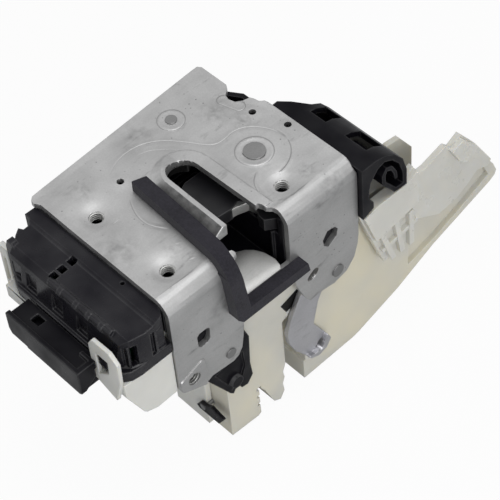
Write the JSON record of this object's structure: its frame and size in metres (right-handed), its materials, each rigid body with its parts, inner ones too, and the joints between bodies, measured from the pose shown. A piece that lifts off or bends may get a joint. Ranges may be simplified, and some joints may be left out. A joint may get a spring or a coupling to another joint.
{
  "type": "door latch actuator",
  "caption": "Vehicle door latch: bent steel plate with striker slot and mouth, turning claw and pawl, foam seal, cable guide, electrical module and actuator housing.",
  "frame": {"origin": "on the axis of the inner screw hole of the face plate, where its thread starts, one dimple depth under the plate's outer face", "axes": "+Z is the outward normal of the face plate, +X points to the bent flange where the striker comes in, +Y points to the cable guide"},
  "size_m": [0.0871, 0.2167, 0.1192],
  "materials": {
    "zinc_steel": "zinc plated sheet, satin, light scratches",
    "bright_steel": "bright rolled surface",
    "pin_steel": "satin",
    "spring_steel": "satin",
    "lever_steel": "grey phosphated, satin",
    "black_plastic": "fine grain, satin",
    "glossy_black_plastic": "semi gloss",
    "black_rubber": "semi gloss",
    "bump_rubber": "matte",
    "seal_foam": "open cell foam, matte",
    "cream_plastic": "natural plastic, satin",
    "clear_white_plastic": "natural plastic, satin",
    "white_plastic": "natural plastic, satin",
    "contact_brass": "satin",
    "board_green": "satin",
    "capacitor_can": "satin",
    "motor_can": "satin"
  },
  "bodies": {
    "housing": {"latch_plate": "zinc_steel", "striker_ramp": "bright_steel", "back_plate": "zinc_steel", "latch_housing": "black_plastic", "striker_pocket": "black_plastic", "striker_stop": "bump_rubber", "claw_pin": "pin_steel", "pawl_pin": "pin_steel", "plate_rivet": "pin_steel", "flange_rivet": "pin_steel", "claw_spring": "spring_steel", "pawl_spring": "spring_steel", "seal_strip": "seal_foam", "cable_guide": "black_plastic", "actuator_housing": "cream_plastic", "rear_cover": "cream_plastic", "housing_screws": "pin_steel", "arm_cover": "clear_white_plastic", "ribbed_cover": "clear_white_plastic", "lower_guard": "black_plastic", "lever_pin": "pin_steel", "lever_stop": "bump_rubber", "module_cover": "glossy_black_plastic", "module_housing": "white_plastic", "connector_hood": "black_plastic", "connector_socket": "black_plastic", "connector_pins": "contact_brass", "circuit_board": "board_green", "lock_switches": "glossy_black_plastic", "snub_capacitor": "capacitor_can", "lock_motor": "motor_can"},
    "claw": {"claw": "bright_steel", "claw_overmould": "black_rubber"},
    "pawl": {"pawl": "bright_steel"},
    "release_lever": {"release_lever": "lever_steel"},
    "lock_shaft": {"lock_lever": "black_plastic", "lock_shaft": "pin_steel", "sector_gear": "white_plastic"},
    "motor_rotor": {"motor_shaft": "pin_steel", "lock_pinion": "contact_brass"}
  },
  "joints": [
    {"name": "claw_hinge", "type": "hinge", "parent": "housing", "child": "claw", "pos_m": [-0.019, 0.0043, -0.0092], "axis": [0, 0, -1], "range_deg": [0, 45], "stiffness_Nm_per_rad": 0.05},
    {"name": "pawl_hinge", "type": "hinge", "parent": "housing", "child": "pawl", "pos_m": [-0.02, -0.045, -0.0092], "axis": [0, 0, 1], "range_deg": [-8, 7]},
    {"name": "release_lever_hinge", "type": "hinge", "parent": "housing", "child": "release_lever", "pos_m": [0.0096, 0.014, -0.0504], "axis": [1, 0, 0], "range_deg": [-14, 12]},
    {"name": "lock_shaft_hinge", "type": "hinge", "parent": "housing", "child": "lock_shaft", "pos_m": [-0.003, -0.042, -0.0964], "axis": [0, 1, 0], "range_deg": [-12, 12]},
    {"name": "motor_hinge", "type": "hinge", "parent": "housing", "child": "motor_rotor", "pos_m": [-0.003, -0.038, -0.0754], "axis": [0, 1, 0], "range_deg": [-30, 30]}
  ],
  "couplings": [
    {"joint": "pawl_hinge", "follows": "release_lever_hinge", "ratio": 0.57},
    {"joint": "motor_hinge", "follows": "lock_shaft_hinge", "ratio": -2.5}
  ]
}
